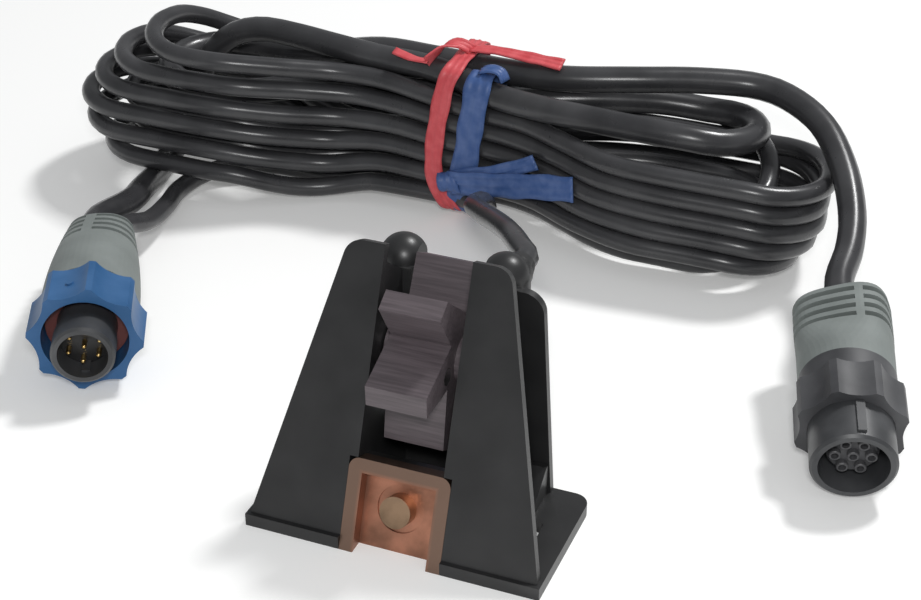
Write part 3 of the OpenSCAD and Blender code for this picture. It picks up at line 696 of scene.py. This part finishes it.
# %% Red tie, with a bow on top
ALONG, ACROSS, UP = (1, 0, 0), (0, 1, 0), (0, 0, 1)
red_band = [(5.6, 2, 35.6), (5.5, -4, 35.5), (5.3, -8.8, 34.9), (4.2, -10.6, 32), (2.8, -10.8, 24),
            (1.9, -11, 15), (2.2, -10.8, 8), (4, -10.6, 3.4), (6.2, -9.6, 0.2), (7.2, -6, -1), (7, 2, -1),
            (6.5, 8.6, -0.8), (6, 10.6, 2), (5.5, 10.8, 12), (5.5, 10.7, 24), (5.6, 10.4, 31),
            (5.6, 8.6, 34.8), (5.6, 2, 35.6)]
red_bow = [(-2, -6.6, 34.4), (-0.8, -4.8, 35.8), (1, -2.6, 37.2), (3.3, -1, 37.8), (5.4, -0.4, 37.2),
           (6.8, 0, 36.2)]
red_left_tail = [(-1.6, -6.4, 34.6), (-5.5, -6.4, 34.7), (-10.2, -5.8, 35.5)]
red_right_tail = [(6, 0.4, 36.3), (11, 1.2, 36.6), (18, 1.2, 36.4), (28, 0.5, 36.2)]
red_tie = tie("red_tie_band", [
    (red_band, (ALONG, ALONG), 4.3),
    (red_bow, ((0.5, 0.9, 0), (0.3, 0.9, 0.3)), 3.2),
    (red_left_tail, (ACROSS, (0, 0.9, 0.4)), 2.0),
    (red_right_tail, (ACROSS, (0, 0.9, 0.4)), 3.4)])
red_tie.data.materials.append(tie_finish("tie_red", (0.72, 0.085, 0.1)).material)
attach(red_tie, "sensor")
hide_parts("red_tie")
print("red tie:", len(red_tie.data.polygons), "faces")

# %% Blue tie, knotted in front
blue_band = [(11.8, 1.6, 28.1), (11.8, -1.4, 28.6), (11.8, -2.6, 30.8), (11.7, -4.2, 33.2), (11.7, -6.8, 34),
             (11.6, -9.2, 33.2), (11.4, -10.6, 30.6), (11.1, -10.8, 27), (10.3, -10.9, 20.7),
             (9.7, -10.9, 14), (8.6, -10.9, 9), (8.6, -10.7, 4), (9.6, -9.4, 0), (10, -5, -1), (10.2, 3, -1),
             (10.4, 8.6, -0.8), (10.6, 10.6, 2), (11, 10.8, 14), (11.5, 10.6, 23), (11.7, 8.6, 26.6),
             (11.8, 5, 27.8), (11.8, 1.6, 28.1)]
blue_knot = [(5.8, -10.9, 10), (5.6, -12.6, 10.2), (6.2, -13.6, 8.6), (7, -13.2, 6.8), (8, -11.4, 6)]
blue_curl = [(11, -6, 34.6), (13.4, -6.2, 35.4), (15.8, -6.4, 35), (17, -6.8, 33.2)]
blue_upper_tail = [(6.4, -12, 9.2), (12, -12.6, 11.2), (19, -13.4, 14), (27.3, -14.6, 18.6)]
blue_lower_tail = [(6.6, -12.8, 8.4), (13, -13.4, 9.5), (22, -14.9, 11.7), (30, -17.2, 14.2),
                   (37.6, -19.4, 16.2)]
blue_tie = tie("blue_tie_band", [
    (blue_band, (ALONG, ALONG), 6.0),
    (blue_knot, ((1, 0.2, 0.3), (1, 0.2, -0.2)), 4.6),
    (blue_curl, (ACROSS, ACROSS), 4.2),
    (blue_upper_tail, ((0, 0.5, 0.9), UP), 3.6),
    (blue_lower_tail, (UP, (0, 0.2, 1)), 5.8)])
blue_tie.data.materials.append(tie_finish("tie_blue", (0.05, 0.115, 0.32)).material)
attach(blue_tie, "sensor")
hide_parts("blue_tie")
print("blue tie:", len(blue_tie.data.polygons), "faces")

# %% [markdown]
# ## Table and light
# The table is white and runs out of the picture. It glows a little, but only for the camera and in
# reflections, so it looks white without lighting the object. One lamp hangs high on the right, behind the
# object, so its shadows fall to the left and towards the viewer. A small fill beside the camera lightens the
# near shadows more than the far ones, because its light thins out with distance, and draws a fine bright line
# on every strand. The rest comes evenly from the room. Together they give about as much light as a colour
# needs to look as written.

# %% Table
TABLE_HALF = 3.0
TABLE_GLOW = 0.2
PAPER_WHITE, GLOW_WHITE = (0.86, 0.86, 0.85, 1), (1, 1, 0.99, 1)

corners = [(x * TABLE_HALF, y * TABLE_HALF, 0) for x, y in ((-1, -1), (1, -1), (1, 1), (-1, 1))]
table_mesh = bpy.data.meshes.new("table")
table_mesh.from_pydata(corners, [], [(0, 1, 2, 3)])
table = add_to_scene("table", table_mesh)
paper = Finish("table_white", roughness=0.8, specular=0.1)
paper.shader.inputs["Base Color"].default_value = PAPER_WHITE
paper.shader.inputs["Emission Color"].default_value = GLOW_WHITE
rays = paper.add("ShaderNodeLightPath").outputs
seen = paper.larger(paper.larger(rays["Is Camera Ray"], rays["Is Glossy Ray"]), rays["Is Transmission Ray"])
paper.join(paper.between(seen, 0.0, TABLE_GLOW), paper.shader.inputs["Emission Strength"])
table_mesh.materials.append(paper.material)
print("table:", 2 * TABLE_HALF, "m wide")

# %% Lamps and world
ROOM_TINT, ROOM_STRENGTH = (0.95, 0.97, 1.0, 1), 0.32


def lamp(name, at, aim, size, watts):
    """A rectangular lamp at a point, aimed at another."""
    light = bpy.data.lights.new(name, "AREA")
    light.shape = "RECTANGLE"
    light.size, light.size_y = size
    light.energy = watts
    add_to_scene(name, light).matrix_world = placed(at, Vector(aim) - Vector(at))
    print(name + ":", watts, "W")


lamp("desk_lamp", at=(0.32, 0.6, 1.0), aim=(0, 0.06, 0), size=(0.16, 0.16), watts=8.6)
lamp("fill", at=(0.11, -0.25, 0.25), aim=(-0.02, 0.06, 0), size=(0.05, 0.03), watts=0.6)
world = bpy.data.worlds.new("studio")
world.use_nodes = True
room = world.node_tree.nodes["Background"]
room.inputs["Color"].default_value = ROOM_TINT
room.inputs["Strength"].default_value = ROOM_STRENGTH
bpy.context.scene.world = world
bpy.context.scene.view_settings.view_transform = "Standard"

# %% [markdown]
# ## The end
# The scene is brought up to date. A finish adds no size, and a cable lies where its solid was.

# %% Bring the scene up to date
bpy.context.view_layer.update()
